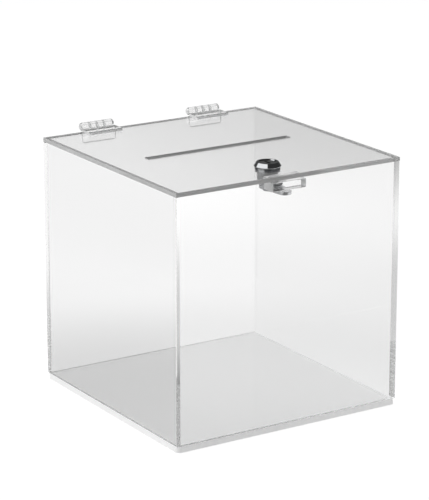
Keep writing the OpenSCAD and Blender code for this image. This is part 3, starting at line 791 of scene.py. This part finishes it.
def barrel_rows(angles):
    """The threaded barrel, from its end up to the lid's top.

    At angle a and height z the radius is the core's plus half the thread's depth times
    1 + cos(2 pi z / pitch - a), faded out at both ends; two flats then cut it off."""
    z = np.linspace(-BARREL_L, 0, THREAD_ROWS)[:, None]
    fade = np.clip((z + BARREL_L) / THREAD_PITCH, 0, 1) * np.clip(-z / THREAD_PITCH, 0, 1)
    phase = 2 * np.pi * z / THREAD_PITCH - angles[None]
    round_r = BARREL_R - THREAD_DEPTH + fade * THREAD_DEPTH * (1 + np.cos(phase)) / 2
    slope = -fade * THREAD_DEPTH * np.pi / THREAD_PITCH * np.sin(phase)
    flat_r = flat_reach(BARREL_FLATS, angles)[None]
    cut = flat_r < round_r
    r = np.where(cut, flat_r, round_r)
    points = np.stack([r * np.cos(angles), r * np.sin(angles), z + 0 * r], -1)
    normals = np.stack([
        np.where(cut, np.sign(np.cos(angles)), np.cos(angles)),
        np.where(cut, 0, np.sin(angles)), np.where(cut, 0, -slope)], -1)
    return points, normals


def housing_solid():
    """The housing: the barrel's rows, then the head's profile turned round the axis: rim, bevel,
    dished top, seat of the plug's flange and bore. A lug for the stop washer stands on its end.
    Below the lid's top it takes the rougher plated steel, whose darker colour there is painted shade
    under the lid."""
    angles = full_turn(THREAD_STEPS)
    seat_r, seat_z = FLANGE_R + PLUG_CLEAR, HEAD_H - DISH_DEPTH
    under_z = seat_z - FLANGE_T - SEAT_GAP
    bore_r = PLUG_R + PLUG_CLEAR
    corners = [
        (BARREL_R - HEAD_LAP, 0), (HEAD_R, 0), (HEAD_R, HEAD_RIM), (HEAD_TOP_R, HEAD_H),
        (DISH_R, HEAD_H), (seat_r, seat_z), (seat_r, under_z), (bore_r, under_z),
        (bore_r, -BARREL_L), (BARREL_FLATS / 2 - END_LAP, -BARREL_L)]
    head = rings(arc_path(corners, HEAD_ROUNDS, closed=False), angles)
    points, normals = (np.concatenate(part) for part in zip(barrel_rows(angles), head))
    solid = Solid()
    solid.grid(points, normals, wrap_rows=True)
    # painted shade: below the lid's top the chrome housing takes the darker steel
    solid.tags[0][solid.points[0][solid.faces[0]].mean(1)[:, 2] < 0] = CUT
    a = np.linspace(LUG_FROM, LUG_TO, LUG_STEPS)
    way, outer = ways(a), np.minimum(BARREL_R - THREAD_DEPTH, flat_reach(BARREL_FLATS, a))
    loop = np.concatenate([outer[:, None] * way, LUG_INNER_R * way[::-1]])
    solid.plate(
        (loop, np.concatenate([way, -way[::-1]])), [], -BARREL_L - LUG_H, -BARREL_L, LUG_EDGE)
    return solid


def hex_path(flats, corner, turn, steps=7):
    """A hexagon with rounded corners and points along its sides: side k is the line
    n_k flats / 2 + t_k s, where n_k stands at turn + 60 k degrees."""
    k = turn + np.arange(6)[:, None] * np.pi / 3
    half, lean = flats / 2 - corner, np.tan(np.pi / 6)
    s = np.linspace(-half * lean, half * lean, steps)[None]
    n, t = ways(k), ways(k + np.pi / 2)
    side = n * flats / 2 + t * s[..., None]
    way = ways(k + np.linspace(0, np.pi / 3, 6)[None, 1:-1])
    path = np.concatenate([side, half * (n + t * lean) + corner * way], 1)
    normal = np.concatenate([np.broadcast_to(n, side.shape), way], 1)
    return path.reshape(-1, 2), normal.reshape(-1, 2)


def nut_solid(low, high):
    """The nut: its hexagon, cut off by a flat cone at both faces, round a plain bore."""
    path, away = hex_path(NUT_FLATS, NUT_CORNER, NUT_TURN)
    reach = np.linalg.norm(path, axis=1)
    way = path / reach[:, None]
    lead = np.maximum(reach - NUT_CHAMFER_R, 0) * NUT_SLOPE
    bore, ring = way * (BARREL_R + PLUG_CLEAR), way * NUT_CHAMFER_R
    cone = np.array([NUT_SLOPE, 1.0]) / np.hypot(NUT_SLOPE, 1.0)
    up, down = (0.0, 0.0, 1.0), (0.0, 0.0, -1.0)
    outward, inward = np.column_stack([away, 0 * reach]), -np.column_stack([way, 0 * reach])
    def row(flat, height, lean):
        height = np.broadcast_to(height, len(flat))
        return np.column_stack([flat, height]), np.broadcast_to(lean, (len(flat), 3))
    def slant(side):
        return np.column_stack([way * cone[0], np.full(len(way), side * cone[1])])
    rows = [
        row(bore, low, down), row(ring, low, down), row(ring, low, slant(-1)),
        row(path, low + lead, slant(-1)), row(path, low + lead, outward),
        row(path, high - lead, outward), row(path, high - lead, slant(1)),
        row(ring, high, slant(1)), row(ring, high, up), row(bore, high, up),
        row(bore, high, inward), row(bore, low, inward)]
    solid = Solid()
    solid.grid(*(np.array(part) for part in zip(*rows)))
    return solid


def cam_path(tip_y):
    """The cam's outline: an arc round its hub and one round its tip, joined by their tangents.

    A tangent leans by asin((hub - tip) / distance) from the line between the centres."""
    lean = np.arcsin((HUB_R - TIP_R) / tip_y)
    hub, hub_lean = arc(HUB_R, -lean, np.pi + lean, steps=60)
    tip, tip_lean = arc(TIP_R, np.pi + lean, 2 * np.pi - lean, steps=50)
    return np.concatenate([hub, tip - (0, tip_y)]), np.concatenate([hub_lean, tip_lean])


def cross_path(length, width):
    """A cross recess: two bars, length by width, across each other."""
    far, near = length / 2, width / 2
    corners = [
        (-near, -far), (near, -far), (near, -near), (far, -near), (far, near), (near, near),
        (near, far), (-near, far), (-near, near), (-far, near), (-far, -near), (-near, -near)]
    return arc_path(corners, RECESS_CORNER, steps=4)


def screw_solid(low, seat, high):
    """Pan-head screw, head down: the turned side with a plain shank, and a cross recess below."""
    corners = [
        (SCREW_HEAD_R - SCREW_EDGE, low), (SCREW_HEAD_R, low + SCREW_EDGE), (SCREW_HEAD_R, seat),
        (SCREW_R, seat), (SCREW_R, high)]
    points, normals = rings(
        arc_path(corners, SCREW_ROUNDS, closed=False), full_turn(SCREW_STEPS))
    solid = Solid()
    solid.grid(points, normals)
    recess = cross_path(RECESS_L, RECESS_W)
    floor = low + RECESS_DEEP
    solid.wall(recess, straight(low, floor), True)
    solid.cap([points[0][:, :2], recess[0]], low, False)
    solid.cap([recess[0]], floor, False)
    solid.cap([points[-1][:, :2]], high, True)
    return solid


def lock_heights(node):
    """Lowest and highest point of a lock piece above the lid's top."""
    low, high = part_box(node)
    return low.z - LID_TOP, high.z - LID_TOP


washer_low, washer_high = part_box("lock_washer")
washer = Solid()
washer.plate(
    circle_path((washer_high.x - washer_low.x) / 2), [circle_path(BARREL_R + HOLE_CLEAR)],
    *lock_heights("lock_washer"), WASHER_EDGE)
nut = nut_solid(*lock_heights("lock_nut"))
cam_tip_y = LOCK_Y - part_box("lock_cam")[0].y - TIP_R
cam_low, cam_high = lock_heights("lock_cam")
cam = Solid()
cam.plate(
    cam_path(cam_tip_y), [box_path(SQUARE_W, SQUARE_W, SQUARE_CORNER)],
    cam_low, cam_high, CAM_EDGE)
screw_low, screw_high = lock_heights("cam_screw")
screw = screw_solid(screw_low, cam_low, screw_high)
for name, solid, material, body, slot in (
        ("lock_housing", housing_solid(), CHROME, "lid", "bright_chrome"),
        ("lock_washer", washer, STEEL, "lid", "plated_steel"),
        ("lock_nut", nut, STEEL, "lid", "plated_steel"),
        ("lock_cam", cam, CHROME, "lock_core", "bright_chrome"),
        ("cam_screw", screw, STEEL, "lock_core", "plated_steel")):
    solid.moved((0, LOCK_Y, LID_TOP))
    make_piece(f"bright_{name}", solid, (material, STEEL), body, name)

NODE_FINISH = {
    "lock_plug": CHROME, "stop_washer": STEEL, "wafer_springs": STEEL, "wafer_tumblers": BRASS,
}
for name, finish in NODE_FINISH.items():
    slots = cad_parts[name].data.materials
    slots.clear()
    slots.append(finish)


# ---------------------------- studio


def path_share(tree):
    """(camera, straight, lit): 1 for a camera ray, for one that has met glass but no mirror, and for
    one that has met a matt surface."""
    path = add_node(tree, "ShaderNodeLightPath").outputs
    straight = add_node(
        tree, "ShaderNodeMath", _operation="LESS_THAN", i0=path["Glossy Depth"], i1=ONCE)
    lit = add_node(
        tree, "ShaderNodeMath", _operation="GREATER_THAN", i0=path["Diffuse Depth"], i1=ONCE)
    return path["Is Camera Ray"], straight.outputs[0], lit.outputs[0]


def pick(tree, share, off, on):
    """off where share is 0 and on where it is 1."""
    return add_node(tree, "ShaderNodeMix", Factor=share, i2=off, i3=on).outputs[0]


def ramp(tree, value, low, high, start, end):
    """A smooth step from start at low to end at high."""
    return add_node(
        tree, "ShaderNodeMapRange", _interpolation_type="SMOOTHSTEP", Value=value, From_Min=low,
        From_Max=high, To_Min=start, To_Max=end).outputs[0]


def measure(tree, kind, place, other=(0, 0, 0)):
    """The dot product or distance of a place and another point, or the place's length."""
    return add_node(
        tree, "ShaderNodeVectorMath", _operation=kind, i0=place, i1=other).outputs["Value"]


def floor_light(tree, place, camera, straight):
    """What the floor gives: white for the camera, nearly even white through clear sheets with painted
    shade under and near the box, and in mirrors a pale table behind the object that is dim in front
    of it, with two soft patches of painted shade at the box."""
    split = add_node(tree, "ShaderNodeSeparateXYZ", Vector=place).outputs
    across = add_node(tree, "ShaderNodeMath", _operation="SUBTRACT", i0=split["X"], i1=split["Y"])
    pale = ramp(tree, across.outputs[0], *FLOOR_LEFT, FLOOR_HALF, FLOOR_PALE)
    ahead = measure(tree, "DOT_PRODUCT", place, (FLOOR_SLANT, 1, 0))
    mirrored = ramp(tree, ahead, *FLOOR_FRONT, FLOOR_DIM, pale)
    far = measure(tree, "LENGTH", place)
    mirrored = ramp(tree, far, *FLOOR_FAR, mirrored, FLOOR_DIM)
    # painted shade: two soft dark patches on the table at the box, seen in mirrors
    for at, reach, dim in (
            (BACK_SHADE_AT, BACK_SHADE_REACH, BACK_SHADE_DIM), (SHADE_AT, SHADE_REACH, FLOOR_DIM)):
        mirrored = ramp(tree, measure(tree, "DISTANCE", place, (*at, 0)), *reach, dim, mirrored)
    # painted shade: seen through the sheets, the floor is dimmer under and near the box
    through = ramp(tree, far, *WHITE_REACH, NEAR_SHADE_WHITE, THROUGH_WHITE)
    through = ramp(tree, far, *UNDER_REACH, UNDER_SHADE_WHITE, through)
    fainter = add_node(tree, "ShaderNodeMath", _operation="MULTIPLY", i0=through, i1=RIGHT_WHITE)
    through = ramp(tree, split["X"], *RIGHT_FADE, through, fainter.outputs[0])
    return pick(tree, camera, pick(tree, straight, mirrored, through), CAMERA_WHITE)


def make_floor():
    """A wide pale floor, part glow and part matt, that keeps the object's shadow. For matt surfaces
    its glow is a painted pool of light near the object."""
    s = FLOOR_REACH
    mesh = bpy.data.meshes.new("floor")
    mesh.from_pydata([(-s, -s, 0), (s, -s, 0), (s, s, 0), (-s, s, 0)], [], [(0, 1, 2, 3)])
    floor = bpy.data.objects.new("floor", mesh)
    bpy.context.scene.collection.objects.link(floor)
    floor.location.z = -FLOOR_GAP
    material, tree, output = new_material("pale_floor")
    camera, straight, lit = path_share(tree)
    place = add_node(tree, "ShaderNodeTexCoord").outputs["Object"]
    # painted light: the table glows near the object for matt surfaces, as a pool of light
    near = ramp(tree, measure(tree, "LENGTH", place), *NEAR_REACH, NEAR_LIGHT_POOL, 0.0)
    strength = pick(tree, lit, floor_light(tree, place, camera, straight), near)
    share = pick(tree, lit, pick(tree, straight, 1.0, FLOOR_GLOW), NEAR_GLOW)
    matt = add_node(tree, "ShaderNodeBsdfDiffuse", Color=grey(FLOOR_TONE))
    glow = add_node(tree, "ShaderNodeEmission", Color=grey(1), Strength=strength)
    mix = add_node(tree, "ShaderNodeMixShader", i0=share, i1=matt.outputs[0], i2=glow.outputs[0])
    tree.links.new(mix.outputs[0], output.inputs["Surface"])
    mesh.materials.append(material)


def make_world():
    """White for the camera and through clear sheets. In mirrors it is a dim room, pale only low down
    behind the object; on matt surfaces it is an even soft light."""
    world = bpy.data.worlds.new("studio")
    world.use_nodes = True
    tree = world.node_tree
    tree.nodes.clear()
    output = tree.nodes.new("ShaderNodeOutputWorld")
    way = add_node(tree, "ShaderNodeTexCoord").outputs["Generated"]
    split = add_node(tree, "ShaderNodeSeparateXYZ", Vector=way).outputs
    sharp = add_node(tree, "ShaderNodeLightPath").outputs["Is Singular Ray"]
    low_sky = ramp(tree, split["X"], *SKY_FADE, SKY_LEFT, SKY_RIGHT)
    low_sky = pick(tree, sharp, SKY_BLUR, low_sky)
    low_sky = ramp(tree, split["Y"], *SKY_BACK, pick(tree, sharp, ROOM_DIM, SKY_FRONT), low_sky)
    room = ramp(tree, split["Z"], *ROOM_FADE, low_sky, ROOM_DIM)
    ambient = ramp(tree, split["Y"], *AMBIENT_FADE, AMBIENT_FRONT, AMBIENT_BACK)
    camera, straight, lit = path_share(tree)
    above = ramp(tree, split["Z"], *UP_FADE, THROUGH_WHITE, UP_DIM)
    seen = pick(tree, camera, pick(tree, straight, room, above), 1.0)
    back = add_node(
        tree, "ShaderNodeBackground", Color=grey(1), Strength=pick(tree, lit, seen, ambient))
    tree.links.new(back.outputs[0], output.inputs["Surface"])
    bpy.context.scene.world = world


def softbox(name, place, aim, size, power):
    """A rectangular soft lamp that faces a point."""
    data = bpy.data.lights.new(name, "AREA")
    data.shape = "RECTANGLE"
    data.size, data.size_y = size
    data.energy = power
    lamp = bpy.data.objects.new(name, data)
    lamp.location = place
    lamp.rotation_mode = "QUATERNION"
    lamp.rotation_quaternion = (Vector(aim) - Vector(place)).to_track_quat("-Z", "Y")
    bpy.context.scene.collection.objects.link(lamp)


def make_camera():
    """A camera at the eye, turned by the yaw from +Y towards +X and down by the pitch."""
    data = bpy.data.cameras.new("camera")
    data.lens = LENS
    data.sensor_width = 36
    data.clip_end = 50
    camera = bpy.data.objects.new("camera", data)
    aim = Vector((
        math.sin(YAW) * math.cos(PITCH), math.cos(YAW) * math.cos(PITCH), -math.sin(PITCH)))
    camera.location = EYE
    camera.rotation_mode = "QUATERNION"
    camera.rotation_quaternion = aim.to_track_quat("-Z", "Y")
    bpy.context.scene.collection.objects.link(camera)
    bpy.context.scene.camera = camera


make_camera()
make_world()
make_floor()
softbox("left_softbox", LAMP_AT, LAMP_AIM, LAMP_SIZE, LAMP_POWER)

scene = bpy.context.scene
scene.view_settings.view_transform = "Standard"
scene.cycles.max_bounces = BOUNCES
scene.cycles.glossy_bounces = BOUNCES
scene.cycles.transmission_bounces = BOUNCES
scene.cycles.transparent_max_bounces = BOUNCES
